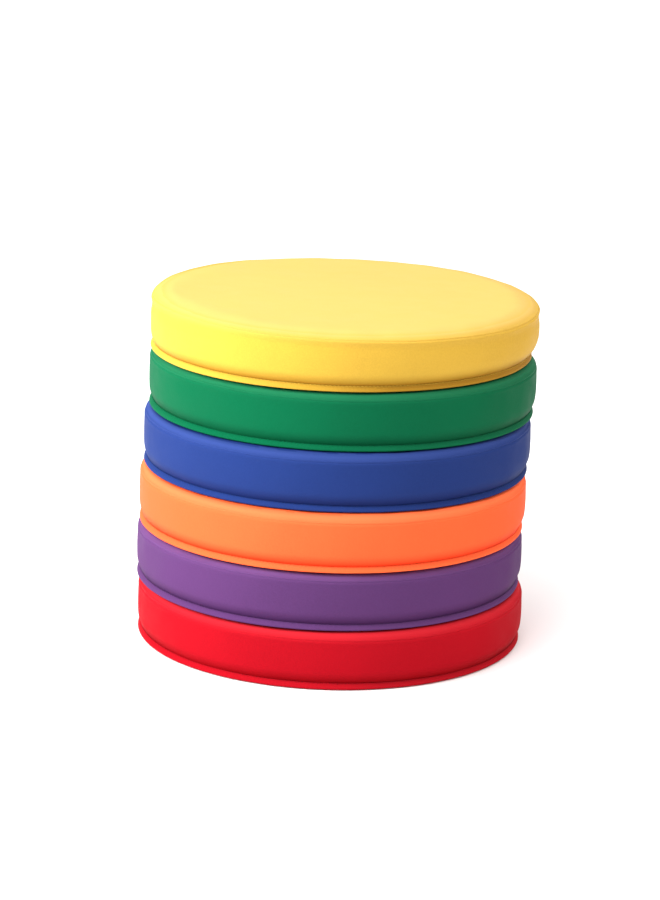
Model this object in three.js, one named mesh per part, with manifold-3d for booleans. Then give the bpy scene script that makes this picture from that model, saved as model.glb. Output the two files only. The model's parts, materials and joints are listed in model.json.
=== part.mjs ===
// A stack of round, boxed floor cushions that lift off one by one.
//
// Each cushion is a foam disc in a wipe-clean cover. The cover is sewn from a crowned top panel, a
// side band round the front, a rear band in two strips with a zip between them, a flat bottom panel
// and a folded binding round the bottom edge. The zip has a slider that runs round the rear of the
// cushion, and a pull tab that swings on the slider's arch.
//
// Millimetres, +Z up, front of the stack towards -Y. The origin is on the floor, under the middle of
// the whole stack's footprint. Azimuths are in degrees about +Z, anticlockwise from +X.

import * as THREE from "three";
import { mergeVertices } from "three/addons/utils/BufferGeometryUtils.js";
import Module from "manifold-3d";

const wasm = await Module();
wasm.setup();

// The stack, from the floor up: how far each cushion is pushed off centre and how far it is turned.
const CUSHIONS = [
  { name: "red", vinyl: 0xc8202c, x: -2, y: -15, turn: 0 },
  { name: "purple", vinyl: 0x6f4a96, x: -4, y: -9, turn: 10 },
  { name: "orange", vinyl: 0xf47a3c, x: -2.5, y: -7.5, turn: -10 },
  { name: "blue", vinyl: 0x35509a, x: 0, y: 3, turn: 0 },
  { name: "green", vinyl: 0x1f7f52, x: 3.5, y: 13, turn: 10 },
  { name: "yellow", vinyl: 0xf2d45a, x: 4, y: 15, turn: -10 },
];

// One cushion.
const CUSHION_HEIGHT = 52;
const CUSHION_GAP = 0.4; // between one cushion's top panel and the next one's bottom panel
const COVER_THICKNESS = 1.2; // vinyl on its cloth backing
const SEWN_GAP = 0.3; // between pieces that are sewn together
const LAYER_GAP = 0.5; // between the foam and the cover that lies on it
const FACETS = 36; // flats round a full circle
const FACET_DEG = 360 / FACETS;

// The top panel: flat in the middle, where the next cushion rests, and rolled down at its rim.
const FLAT_RADIUS = 159;
const SEAM_RADIUS = 177;
const SEAM_HEIGHT = 46.4;

// The binding: a folded strip that stands out as a lip round the bottom edge.
const BINDING_RADIUS = 176.6;
const BINDING_WIDTH = 3.6;
const BINDING_BOTTOM = 0.4; // the lip hangs just clear of the floor
const BINDING_TOP = 4.8;

// The band: sewn in at the crease above the binding, and bulging between its two seams.
const BAND_BOTTOM = BINDING_TOP + SEWN_GAP;
const BAND_TOP = SEAM_HEIGHT - SEWN_GAP - 0.5; // half a millimetre of the rim hangs over it
const CREASE_RADIUS = 175.5;
const BULGE = 3.75;
const BAND_STEPS = 3;

// The zip: a tape with a coil down its middle, behind the two rear strips.
const ZIP_FROM = 30;
const ZIP_TO = 150;
const ZIP_OPENING = 6.5;
const TAPE_WIDTH = 19;
const TAPE_THICKNESS = 0.7;
const TAPE_RADIUS = 176;
const COIL_WIDTH = 5.4;
const COIL_CREST = 3.4; // width of the coil's flat top
const COIL_RADIUS = 179.4;
const ZIP_HEIGHT = (BAND_BOTTOM + BAND_TOP) / 2;

// The slider, closed at one end of the zip: a plate over the coil with an arch for the pull tab.
const SLIDER_AZIMUTH = 145;
const SLIDER_RADIUS = 180.5; // the plate's inner face
const SLIDER_LENGTH = 12;
const SLIDER_WIDTH = 9.2;
const SLIDER_THICKNESS = 1.6;
const ARCH_LENGTH = 6.8;
const ARCH_WIDTH = 2;
const ARCH_RISE = 3.2;
const ARCH_OPENING_LENGTH = 4.2;
const ARCH_OPENING_RISE = 2.2;

// The pull tab: its bar lies under the arch and is the axis that it swings on.
const PULL_RADIUS = SLIDER_RADIUS + SLIDER_THICKNESS + ARCH_OPENING_RISE / 2;
const PULL_BAR = 1.2;
const PULL_THICKNESS = 1.2;
const PULL_LENGTH = 26;
const PULL_NECK_WIDTH = 6.2;
const PULL_END_WIDTH = 8;
const PULL_WINDOW_LENGTH = 4.8;
const PULL_WINDOW_WIDTH = 3.8;
const PULL_ARC_STEPS = 6;

// The foam: a disc that fills the cover, with its rim cut back under the rolled edge.
const FOAM_FOOT_RADIUS = 171.4;
const FOAM_SHOULDER_RADIUS = 169.5;
const FOAM_SHOULDER_HEIGHT = 46.9;
const FOAM_TOP_RADIUS = 157;
const FOAM_SIDE_RADIUS = TAPE_RADIUS - SEWN_GAP;

const ZIP_COLOUR = 0xb9bcc0;
const FOAM_COLOUR = 0xefe6cf;

const radians = THREE.MathUtils.degToRad;

// The outer radius of the band at a share of its height, from 0 at the crease to 1 at the top seam.
function bandRadius(share) {
  return THREE.MathUtils.lerp(CREASE_RADIUS, SEAM_RADIUS, share) + BULGE * 4 * share * (1 - share);
}

function bandHeight(share) {
  return THREE.MathUtils.lerp(BAND_BOTTOM, BAND_TOP, share);
}

// The share of the band's height at which an edge beside the zip lies, below (-1) or above (+1) it.
function zipEdgeShare(side) {
  return 0.5 + (side * ZIP_OPENING) / 2 / (BAND_TOP - BAND_BOTTOM);
}

// A solid of revolution about +Z. The profile's [radius, height] points start on the axis at the
// bottom, run outwards and upwards, and end on the axis again.
function turned(profile) {
  const points = profile.map(([radius, height]) => new THREE.Vector2(radius, height));
  return new THREE.LatheGeometry(points, FACETS).rotateX(Math.PI / 2);
}

// Sweeps a closed anticlockwise outline of [radius, height] points about +Z, from one azimuth to
// another in whole facets. A full circle joins up, and a shorter sweep has its two ends closed.
function swept(outline, fromDeg, toDeg) {
  const steps = Math.round((toDeg - fromDeg) / FACET_DEG);
  const full = steps === FACETS;
  const rings = full ? steps : steps + 1;
  const count = outline.length;
  const positions = [];
  for (let ring = 0; ring < rings; ring++) {
    const azimuth = radians(fromDeg + ring * FACET_DEG);
    for (const [radius, height] of outline) {
      positions.push(radius * Math.cos(azimuth), radius * Math.sin(azimuth), height);
    }
  }
  const triangles = [];
  for (let step = 0; step < steps; step++) {
    const here = step * count;
    const next = ((step + 1) % rings) * count;
    for (let j = 0; j < count; j++) {
      const k = (j + 1) % count;
      triangles.push(here + j, next + j, here + k, here + k, next + j, next + k);
    }
  }
  if (!full) {
    const flat = outline.map(([radius, height]) => new THREE.Vector2(radius, height));
    const last = steps * count;
    for (const [a, b, c] of THREE.ShapeUtils.triangulateShape(flat, [])) {
      triangles.push(a, b, c, last + a, last + c, last + b);
    }
  }
  const geometry = new THREE.BufferGeometry();
  geometry.setAttribute("position", new THREE.Float32BufferAttribute(positions, 3));
  geometry.setIndex(triangles);
  return geometry;
}

// A strip of the cover between two shares of the band's height, swept between two azimuths.
function coverStrip(fromShare, toShare, steps, fromDeg, toDeg) {
  const outer = [];
  for (let i = 0; i <= steps; i++) {
    const share = THREE.MathUtils.lerp(fromShare, toShare, i / steps);
    outer.push([bandRadius(share), bandHeight(share)]);
  }
  const inner = outer.map(([radius, height]) => [radius - COVER_THICKNESS, height]).reverse();
  return swept([...outer, ...inner], fromDeg, toDeg);
}

function topPanel() {
  return turned([
    [0, CUSHION_HEIGHT - COVER_THICKNESS],
    [FLAT_RADIUS - 1, CUSHION_HEIGHT - COVER_THICKNESS],
    [SEAM_RADIUS - COVER_THICKNESS, SEAM_HEIGHT - 0.5],
    [SEAM_RADIUS, SEAM_HEIGHT],
    [FLAT_RADIUS, CUSHION_HEIGHT],
    [0, CUSHION_HEIGHT],
  ]);
}

function bottomPanel() {
  const radius = BINDING_RADIUS - BINDING_WIDTH - SEWN_GAP;
  return turned([
    [0, 0],
    [radius, 0],
    [radius, COVER_THICKNESS],
    [0, COVER_THICKNESS],
  ]);
}

function edgeBinding() {
  const inner = BINDING_RADIUS - BINDING_WIDTH;
  const outline = [
    [inner, BINDING_BOTTOM],
    [BINDING_RADIUS, BINDING_BOTTOM],
    [BINDING_RADIUS, BINDING_TOP],
    [inner, BINDING_TOP],
  ];
  return swept(outline, 0, 360);
}

function sideBand() {
  return coverStrip(0, 1, BAND_STEPS, ZIP_TO, ZIP_FROM + 360);
}

function lowerZipBand() {
  return coverStrip(0, zipEdgeShare(-1), 1, ZIP_FROM, ZIP_TO);
}

function upperZipBand() {
  return coverStrip(zipEdgeShare(1), 1, 1, ZIP_FROM, ZIP_TO);
}

// The tape with its closed coil, which stands out between the two strips.
function zipTape() {
  const face = TAPE_RADIUS + TAPE_THICKNESS;
  const outline = [
    [TAPE_RADIUS, ZIP_HEIGHT - TAPE_WIDTH / 2],
    [face, ZIP_HEIGHT - TAPE_WIDTH / 2],
    [face, ZIP_HEIGHT - COIL_WIDTH / 2],
    [COIL_RADIUS, ZIP_HEIGHT - COIL_CREST / 2],
    [COIL_RADIUS, ZIP_HEIGHT + COIL_CREST / 2],
    [face, ZIP_HEIGHT + COIL_WIDTH / 2],
    [face, ZIP_HEIGHT + TAPE_WIDTH / 2],
    [TAPE_RADIUS, ZIP_HEIGHT + TAPE_WIDTH / 2],
  ];
  return swept(outline, ZIP_FROM, ZIP_TO);
}

function foamCore() {
  const bottom = COVER_THICKNESS + LAYER_GAP;
  const top = CUSHION_HEIGHT - COVER_THICKNESS - LAYER_GAP;
  return turned([
    [0, bottom],
    [FOAM_FOOT_RADIUS, bottom],
    [FOAM_SIDE_RADIUS, bandHeight(1 / 3)],
    [FOAM_SIDE_RADIUS, bandHeight(2 / 3)],
    [FOAM_SHOULDER_RADIUS, FOAM_SHOULDER_HEIGHT],
    [FOAM_TOP_RADIUS, top],
    [0, top],
  ]);
}

// One closed solid from a geometry, whose shared corners have to be merged first.
function solid(geometry) {
  const bare = geometry.clone();
  bare.deleteAttribute("normal");
  bare.deleteAttribute("uv");
  const merged = mergeVertices(bare);
  return new wasm.Manifold(
    new wasm.Mesh({
      numProp: 3,
      vertProperties: merged.getAttribute("position").array,
      triVerts: new Uint32Array(merged.index.array),
    }),
  );
}

function geometryOf(manifold) {
  const mesh = manifold.getMesh();
  const geometry = new THREE.BufferGeometry();
  geometry.setAttribute("position", new THREE.BufferAttribute(mesh.vertProperties, mesh.numProp));
  geometry.setIndex(new THREE.BufferAttribute(mesh.triVerts, 1));
  return geometry;
}

// The slider at azimuth 0: X points out of the cushion, Y along the zip and Z across it.
function zipSlider() {
  const plate = new THREE.BoxGeometry(SLIDER_THICKNESS, SLIDER_LENGTH, SLIDER_WIDTH);
  plate.translate(SLIDER_RADIUS + SLIDER_THICKNESS / 2, 0, 0);
  const foot = SLIDER_RADIUS + SLIDER_THICKNESS - SEWN_GAP; // sunk into the plate, so that they join
  const crown = SLIDER_RADIUS + SLIDER_THICKNESS + ARCH_RISE;
  const underside = SLIDER_RADIUS + SLIDER_THICKNESS + ARCH_OPENING_RISE;
  const side = new THREE.Shape();
  side.moveTo(foot, -ARCH_LENGTH / 2);
  side.lineTo(crown, -ARCH_OPENING_LENGTH / 2);
  side.lineTo(crown, ARCH_OPENING_LENGTH / 2);
  side.lineTo(foot, ARCH_LENGTH / 2);
  side.lineTo(foot, ARCH_OPENING_LENGTH / 2);
  side.lineTo(underside, ARCH_OPENING_LENGTH / 2);
  side.lineTo(underside, -ARCH_OPENING_LENGTH / 2);
  side.lineTo(foot, -ARCH_OPENING_LENGTH / 2);
  const arch = new THREE.ExtrudeGeometry(side, { depth: ARCH_WIDTH, bevelEnabled: false });
  arch.translate(0, 0, -ARCH_WIDTH / 2);
  return geometryOf(solid(plate).add(solid(arch)));
}

// The pull tab with its bar on the origin and its length along -Y, thickness along X.
function pullTab() {
  const neck = PULL_NECK_WIDTH / 2;
  const end = PULL_END_WIDTH / 2;
  const outline = new THREE.Shape();
  outline.moveTo(-neck, -PULL_BAR / 2);
  outline.lineTo(neck, -PULL_BAR / 2);
  outline.lineTo(end, PULL_LENGTH - end);
  outline.absarc(0, PULL_LENGTH - end, end, 0, Math.PI, false);
  const window = new THREE.Path();
  window.moveTo(-PULL_WINDOW_WIDTH / 2, PULL_BAR / 2);
  window.lineTo(PULL_WINDOW_WIDTH / 2, PULL_BAR / 2);
  window.lineTo(PULL_WINDOW_WIDTH / 2, PULL_BAR / 2 + PULL_WINDOW_LENGTH);
  window.lineTo(-PULL_WINDOW_WIDTH / 2, PULL_BAR / 2 + PULL_WINDOW_LENGTH);
  outline.holes.push(window);
  const tab = new THREE.ExtrudeGeometry(outline, {
    depth: PULL_THICKNESS,
    bevelEnabled: false,
    curveSegments: PULL_ARC_STEPS,
  });
  tab.translate(0, 0, -PULL_THICKNESS / 2);
  return tab.rotateX(Math.PI).rotateY(Math.PI / 2);
}

function mesh(name, geometry, colour, roughness, metalness) {
  const material = new THREE.MeshStandardMaterial({ color: colour, roughness, metalness });
  const made = new THREE.Mesh(geometry, material);
  made.name = name;
  return made;
}

function vinylPiece(cushion, piece, geometry) {
  return mesh(`${cushion.name}_${piece}`, geometry, cushion.vinyl, 0.45, 0);
}

// The slider and its pull tab, placed at the closed end of the zip.
function zipHardware(cushion) {
  const slider = mesh(`${cushion.name}_zip_slider`, zipSlider(), ZIP_COLOUR, 0.3, 1);
  const pull = mesh(`${cushion.name}_zip_pull`, pullTab(), ZIP_COLOUR, 0.3, 1);
  pull.position.x = PULL_RADIUS;
  const hardware = new THREE.Group();
  hardware.add(slider, pull);
  hardware.position.z = ZIP_HEIGHT;
  hardware.rotation.z = radians(SLIDER_AZIMUTH);
  return hardware;
}

function cushionGroup(cushion, index) {
  const group = new THREE.Group();
  group.add(
    vinylPiece(cushion, "top_panel", topPanel()),
    vinylPiece(cushion, "side_band", sideBand()),
    vinylPiece(cushion, "upper_zip_band", upperZipBand()),
    vinylPiece(cushion, "lower_zip_band", lowerZipBand()),
    vinylPiece(cushion, "bottom_panel", bottomPanel()),
    vinylPiece(cushion, "edge_binding", edgeBinding()),
    mesh(`${cushion.name}_zip_tape`, zipTape(), cushion.vinyl, 0.8, 0),
    mesh(`${cushion.name}_foam_core`, foamCore(), FOAM_COLOUR, 0.95, 0),
    zipHardware(cushion),
  );
  group.position.set(cushion.x, cushion.y, index * (CUSHION_HEIGHT + CUSHION_GAP));
  group.rotation.z = radians(cushion.turn);
  return group;
}

const stack = new THREE.Group();
CUSHIONS.forEach((cushion, index) => stack.add(cushionGroup(cushion, index)));

export default stack;
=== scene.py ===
"""The looks of a stack of six round boxed floor cushions in wipe-clean vinyl covers.

Each cushion gets a top panel, a front band, two rear strips with a zip between them, a bottom panel,
a folded lip, its stitches and the foam inside. The cover is blown up with cloth simulation between
its sewn rings. Profiles are in millimetres above the cushion's base, and meshes are in metres.
"""

import json
import math
import random

import bpy
import numpy as np
from mathutils import Matrix, Vector


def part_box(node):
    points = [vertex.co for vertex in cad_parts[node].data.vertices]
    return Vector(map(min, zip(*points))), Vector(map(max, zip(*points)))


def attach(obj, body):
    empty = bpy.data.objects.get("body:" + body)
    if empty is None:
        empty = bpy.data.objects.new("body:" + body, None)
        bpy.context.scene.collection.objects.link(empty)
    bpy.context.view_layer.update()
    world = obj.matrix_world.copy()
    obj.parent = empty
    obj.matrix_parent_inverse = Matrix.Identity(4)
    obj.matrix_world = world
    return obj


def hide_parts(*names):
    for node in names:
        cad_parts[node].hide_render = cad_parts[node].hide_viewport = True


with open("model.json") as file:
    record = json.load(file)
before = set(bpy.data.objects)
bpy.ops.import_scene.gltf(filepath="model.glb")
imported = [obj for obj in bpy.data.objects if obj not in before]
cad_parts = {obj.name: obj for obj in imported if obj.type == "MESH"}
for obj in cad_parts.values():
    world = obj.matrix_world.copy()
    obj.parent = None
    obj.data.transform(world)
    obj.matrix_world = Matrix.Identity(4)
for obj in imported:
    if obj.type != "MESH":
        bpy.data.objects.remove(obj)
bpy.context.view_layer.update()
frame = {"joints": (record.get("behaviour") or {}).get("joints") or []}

MM = 0.001
COLOURS = ["red", "purple", "orange", "blue", "green", "yellow"]
TOP_CUSHION = "yellow"

# What each cover is dyed, as linear red, green and blue. Its thread, tape and coil are dyed to match.
DYES = {
    "red": (0.34, 0.004, 0.010),
    "purple": (0.082, 0.030, 0.112),
    "orange": (0.85, 0.105, 0.031),
    "blue": (0.0125, 0.030, 0.140),
    "green": (0.001, 0.095, 0.037),
    "yellow": (0.53, 0.325, 0.038),
}

# The power that darkens each dye into painted shade in the crease and on the turned-under lip, and how much
# paler the painted highlight is on the rim and the lip.
CREASE_SHADE_POWER = {"red": 1.3, "purple": 1.3, "orange": 1.6, "blue": 1.15, "green": 1.15, "yellow": 1.75}
HIGHLIGHT_GAIN = 1.42
HIGHLIGHT_LIFT = 0.01
YELLOW_HIGHLIGHT = (0.60, 0.40, 0.115)  # the painted highlight on the top cushion, a pale lemon

# How glossy the covers are.
GLOSS = {"red": 0.02, "purple": 0.035, "orange": 0.035, "blue": 0.05, "green": 0.05, "yellow": 0.1}

# The shell that the cloth simulation blows up: a flat top, a rounded rim and an almost straight side.
SEGMENTS = 216
SIDE_RADIUS = 178.7
SIDE_BULGE = 0.6
SIDE_FOOT_HEIGHT = 16.0  # where the side starts to curve in to the crease
CREASE_RADIUS = 176.0
CREASE_HEIGHT = 5.6
TUCK_TOP = 24.0  # the side is tucked in below this
TUCK_POWER = 1.6
TUCK_FADE = 6.0  # the bottom is drawn in less over this distance
CREASE_SHADE_TOP = 16.5  # painted shade darkens the cover below this
RIM_HIGHLIGHT_HEIGHT = 49.5  # and a painted highlight lightens it round this
RIM_HIGHLIGHT_REACH = 4.0
# The painted highlight on the top reaches out to this radius, fading out over the next distance.
TOP_HIGHLIGHT_RADIUS = 176.0
TOP_HIGHLIGHT_FADE = 12.0
OUTLINE_STEPS = 1600
# The top of a cushion: the free one is crowned and a little slumped, the others lie pressed flat.
FREE_TOP = {
    "height": 51.2,
    "crown": 1.5,  # how much higher the middle is
    "across": 10.0,  # how far the rim is rounded, inwards
    "down": 7.5,  # and down the side
    "seam": -4.6,  # how far beyond the rim's end the seam lies
    "slide": 2.8,  # how far the seam slides further down at SLIDE_AZIMUTH
    "hollow": 0.9,  # the depth of the hollow below the seam
    "groove": 0.4,  # and of the groove in it
    "bead": 0.7,  # the height of the bead beside it
    "tilt": 1.2,  # how much higher the rim is at TILT_AZIMUTH
    "pulls": [(152, 26, -4.5), (190, 20, 4.0)],  # on the seam: azimuth, reach in degrees, distance
    "lip_drawn": 1.6,  # how far the lip is drawn in opposite LIP_AZIMUTH
    "tuck": 4.5,  # how far the side's foot is drawn in at SLIDE_AZIMUTH
    "rim_pale": 0.35,  # how strong the painted highlight on the rim is
    "top_pale": 0.75,  # and the top
}
PRESSED_TOP = {
    "height": 51.9, "crown": 0.0, "across": 8.0, "down": 7.0,
    "seam": 0.0, "slide": 0.6, "hollow": 0.0, "groove": 0.35, "bead": 0.3,
    "tilt": 0.0, "pulls": [], "lip_drawn": 1.3, "tuck": 0.8, "rim_pale": 1.0, "top_pale": 0.0,
}
SLIDE_AZIMUTH = 350
TILT_AZIMUTH = 135
INNER_RING_SHARES = [0.04, 0.16, 0.3, 0.44, 0.58, 0.71, 0.83, 0.92, 1.0]
INNER_REACH = 50  # the rings further in than this from the seam are spread by share
TOP_RING_OFFSETS = [-40, -32, -25, -19.5, -15, -11.5, -8.5, -6.2, -4.4, -3.0, -2.0, -1.2, -0.6]
SEAM_RING_OFFSETS = [0.0, 0.55, 1.1, 1.8, 2.7, 4.2]
BAND_RING_OFFSETS = [5.8, 7.4]
HELD_RINGS = 5  # the inmost rings of the top are held still
ZIP_HEIGHT = 25.35
ZIP_HALF_OPENING = 3.25
ZIP_EDGE_HEIGHTS = [ZIP_HEIGHT + ZIP_HALF_OPENING, ZIP_HEIGHT - ZIP_HALF_OPENING]
BAND_RING_HEIGHTS = [34.6, 31.6, *ZIP_EDGE_HEIGHTS, 19.3, 16.6, 14.0]
FOOT_RING_HEIGHTS = [11.6, 9.6, 8.0, 6.7, CREASE_HEIGHT]
SLOPE_STEP = 0.3  # how far to each side the outline's slope is measured
# Across the top seam: a groove, and the offset and width of a valley, a bead and a hollow.
GROOVE_WIDTH = 0.75
VALLEY_DEPTH = 0.4
VALLEY = (-2.6, 2.4)
BEAD = (1.7, 1.3)
HOLLOW = (8.0, 4.0)
SEAM_WAVE_REACH = 14
CREASE_WAVE_REACH = 7
BOTTOM_FOLD = [(174.6, 4.0), (173.6, 2.0), (172.4, 0.9), (170.4, 0.5)]
BOTTOM_RING_RADII = [164, 150, 132, 110, 85, 60, 35, 12]
BOTTOM_HEIGHT = 0.4
EDGE_RADIUS = 160  # the crease is uneven only outside this, and the painted shade and rim highlight are put only outside the next
SIDE_PAINTED_LIGHT_RADIUS = 170

# How the cover is pushed about.
CLOTH = {
    "quality": 6,
    "mass": 0.15,
    "tension_stiffness": 20,
    "compression_stiffness": 20,
    "shear_stiffness": 4,
    "bending_stiffness": 1.2,
    "air_damping": 2,
    "use_pressure": True,
    "uniform_pressure_force": 4.0,
    "shrink_min": -0.001,
}
SIMULATED_FRAMES = 20
MOST_MOVED = 1.6
EASE = 0.8  # how much of the movement is kept
MOST_WRINKLES = 26  # wrinkles closer together than this many round the cushion are smoothed away
RAMP_RINGS = 9  # the movement grows from none over this many rings round the held middle
SEAM_WAVES = [3, 5, 8, 13, 19, 29]
SEAM_WAVE_SIZE = 0.42
CREASE_WAVE_SIZE = SEAM_WAVE_SIZE * 0.7
COVER_THICKNESS = 1.2
CREASE_ALLOWANCE = 1.0  # how far a panel goes in past the crease
CORE_RADIUS = 168
CORE_LOW = 9
CORE_HIGH = 36
FOAM_DEPTH = 2.6
FOAM_SIDE_RADIUS = 175.2

# The zip, round the rear.
ZIP_FROM = 30
ZIP_TO = 150
REAR = (ZIP_FROM, ZIP_TO)
FRONT = (ZIP_TO, ZIP_FROM + 360)
ZIP_CLEARANCE_RADIUS = 180.1  # the slider runs just outside this
CLEAR_MARGIN = 4  # the band is held inside it over these degrees past the zip's ends
CLEAR_REACH = 8
TURN_IN = 1.3
TURN_IN_SHARES = (0.75, 1.5)  # the two rows of a turned edge go in by these shares of it
TURN_SETBACK = 0.12
TAPE_RADIUS = 176.0
TAPE_WIDTH = 19.0
TAPE_THICKNESS = 0.7
TOOTH_PITCH = 1.5
TOOTH_LENGTH = 3.4
TOOTH_SIZE = 0.62
TOOTH_RADIUS = 177.7
SLIDER_AZIMUTH = 145
SLIDER_RADIUS = 180.5
SLIDER_LENGTH = 12.0
SLIDER_WIDTH = 9.2
SLIDER_THICKNESS = 1.6
ARCH_LENGTH = 6.8
ARCH_WIDTH = 2.0
ARCH_RISE = 3.2
ARCH_BAR = 1.1
PULL_RADIUS = 183.2
PULL_BAR = 1.2
PULL_THICKNESS = 1.2
PULL_LENGTH = 26.0
PULL_NECK_WIDTH = 6.2
PULL_END_WIDTH = 8.0
PULL_WINDOW_LENGTH = 4.8
PULL_WINDOW_WIDTH = 3.8
PULL_POINTS = 48
SHARP_ANGLE = math.radians(35)  # metal edges sharper than this are rounded

# The lip and the stitches.
STITCHES_ROUND = 318
LIP_COLUMNS_PER_STITCH = 4
LIP_OUTLINE = [
    (174.4, 5.9), (175.5, 5.8), (176.2, 5.55), (176.9, 5.05), (177.5, 4.4), (178.1, 3.6),
    (178.7, 2.7), (179.2, 1.8), (179.3, 1.0), (178.8, 0.45), (177.4, 0.2), (175.2, 0.15),
    (173.2, 0.25), (172.9, 1.6), (173.2, 3.4), (173.6, 4.9),
]
LIP_AZIMUTH = 215  # the lip stands out most here
LIP_ROOT_RADIUS = 175  # the lip is free outside this
LIP_FREE_REACH = 2.5
LIP_PUCKER_LOW = 2.4  # the stitches draw in what is above this
LIP_PUCKER_RISE = 2.6
LIP_WAVE_SIZE = 0.25
LIP_PUCKER = 0.26
LIP_PUCKER_IN = 0.6
LIP_LOWERING = 0.12
LIP_TUCK = 2.5  # how soon the lip turns under, and the painted light on it there: above 0 is painted shade, below 0 painted highlight
LIP_PAINTED_LIGHT = {"red": -0.2, "purple": -0.25, "orange": -0.3, "blue": 0.0, "green": -0.2, "yellow": 0.75}
LIP_STITCH = (176.4, 5.5)
STITCH_PITCH = 3.5
STITCH_LENGTH = 2.7
STITCH_SIZE = 0.36
ZIP_STITCH_SETBACK = 3.0
END_STITCH_SETBACK = 1.1  # in degrees, as is the next
ROW_STITCH_SETBACK = 2
END_STITCHES_FROM = 9.5
END_STITCHES_TO = 38

CAMERA_TARGET = (-0.0063, 0.0, 0.1677)
CAMERA_DISTANCE = 2.689
CAMERA_ELEVATION = 14.71
CAMERA_ROLL = 1.83
CAMERA_LENS = 115.62
SENSOR_WIDTH = 36.0

SKY_LOW = 0.32
SKY_HIGH = 1.6
SKY_TOP = 0.8  # the sine of the elevation where it is brightest
FLOOR_RADIUS = 12
FLOOR_DROP = 0.0005

# Each light's azimuth (0 in front, 90 at the right) and elevation, distance, size, watts and tint.
LIGHT_TARGET = (0, 0, 0.16)
LIGHTS = {
    "key": (-73, 20, 1.9, 1.0, 57, (1.0, 1.0, 0.99)),
    "overhead": (-30, 62, 1.8, 0.9, 15, (1.0, 1.0, 1.0)),
    "warm_fill": (80, 15, 1.9, 1.0, 5.0, (1.0, 0.55, 0.32)),
}


# ---- where each cushion is ----


def cushion_place(colour):
    """(centre and base of the cushion in millimetres, its turn in degrees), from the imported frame."""
    low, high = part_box(f"{colour}_bottom_panel")
    centre = (low + high) / 2
    swing = next(j for j in frame["joints"] if j["name"] == f"{colour}_pull_swing")
    pivot = swing["pos_m"]
    azimuth = math.degrees(math.atan2(pivot[1] - centre.y, pivot[0] - centre.x))
    turn = round(azimuth - SLIDER_AZIMUTH)
    return (centre.x / MM, centre.y / MM, low.z / MM), turn


class Place:
    """Puts points from a cushion's own frame, in millimetres, into the row frame, in metres."""

    def __init__(self, colour):
        (self.x, self.y, self.z), turn = cushion_place(colour)
        self.cos = math.cos(math.radians(turn))
        self.sin = math.sin(math.radians(turn))

    def __call__(self, points):
        p = np.asarray(points, float)
        x = p[..., 0] * self.cos - p[..., 1] * self.sin + self.x
        y = p[..., 0] * self.sin + p[..., 1] * self.cos + self.y
        return np.stack([x, y, p[..., 2] + self.z], -1) * MM


def around(radius, azimuth, height):
    """Points from cylindrical coordinates, in millimetres and radians."""
    radius, azimuth, height = np.broadcast_arrays(radius, azimuth, height)
    return np.stack([radius * np.cos(azimuth), radius * np.sin(azimuth), height], -1)


# ---- meshes ----


def new_piece(name, points, faces):
    """A smooth mesh object from points in metres."""
    mesh = bpy.data.meshes.new(name)
    mesh.from_pydata([tuple(p) for p in np.asarray(points).reshape(-1, 3)], [], faces)
    mesh.validate()
    mesh.update()
    mesh.shade_smooth()
    piece = bpy.data.objects.new(name, mesh)
    bpy.context.scene.collection.objects.link(piece)
    return piece


def grid_faces(rows, columns, wrap_rows=False, wrap_columns=False):
    """Quads of a rows by columns grid of points that are numbered row by row."""
    faces = []
    for row in range(rows if wrap_rows else rows - 1):
        below = (row + 1) % rows
        for column in range(columns if wrap_columns else columns - 1):
            beside = (column + 1) % columns
            faces.append((
                row * columns + column,
                below * columns + column,
                below * columns + beside,
                row * columns + beside,
            ))
    return faces


def closed_faces(rows, columns):
    """Faces of a closed form: rows of points all round, and a point in the middle of each end."""
    faces = grid_faces(rows, columns, wrap_columns=True)
    middle = rows * columns
    last = middle - columns
    for column in range(columns):
        beside = (column + 1) % columns
        faces.append((middle, column, beside))
        faces.append((middle + 1, last + beside, last + column))
    return faces


def set_shade(piece, values):
    """A number for each vertex, which the material reads as painted shade and painted highlight."""
    attribute = piece.data.attributes.new("seam", "FLOAT", "POINT")
    attribute.data.foreach_set("value", np.asarray(values, np.float32).ravel())


def refined_rows(grid):
    """Twice as many rows, with each new one on the smooth curve through its four neighbours."""
    before = 2 * grid[:1] - grid[1:2]
    after = 2 * grid[-1:] - grid[-2:-1]
    padded = np.concatenate([before, grid, after])
    between = (9 * (padded[1:-2] + padded[2:-1]) - padded[:-3] - padded[3:]) / 16
    made = np.empty((2 * len(grid) - 1, *grid.shape[1:]))
    made[0::2] = grid
    made[1::2] = between
    return made


def refined(grid, closed):
    """One smooth subdivision of a (rows, columns, 3) grid, both ways."""
    columns = np.swapaxes(refined_rows(grid), 0, 1)
    if closed:
        columns = refined_rows(np.concatenate([columns[-2:], columns, columns[:3]]))[4:-5]
    else:
        columns = refined_rows(columns)
    return np.swapaxes(columns, 0, 1)


def repeated(template_points, template_faces, places):
    """Copies a small closed form to each place. A place is (centre, along, across, out)."""
    centres, along, across, out = (np.asarray(v, float)[:, None, :] for v in places)
    t = np.asarray(template_points, float)[None]
    points = centres + along * t[..., 0:1] + across * t[..., 1:2] + out * t[..., 2:3]
    count = len(template_points)
    faces = [tuple(v + i * count for v in f) for i in range(points.shape[0]) for f in template_faces]
    return points.reshape(-1, 3), faces


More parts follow.
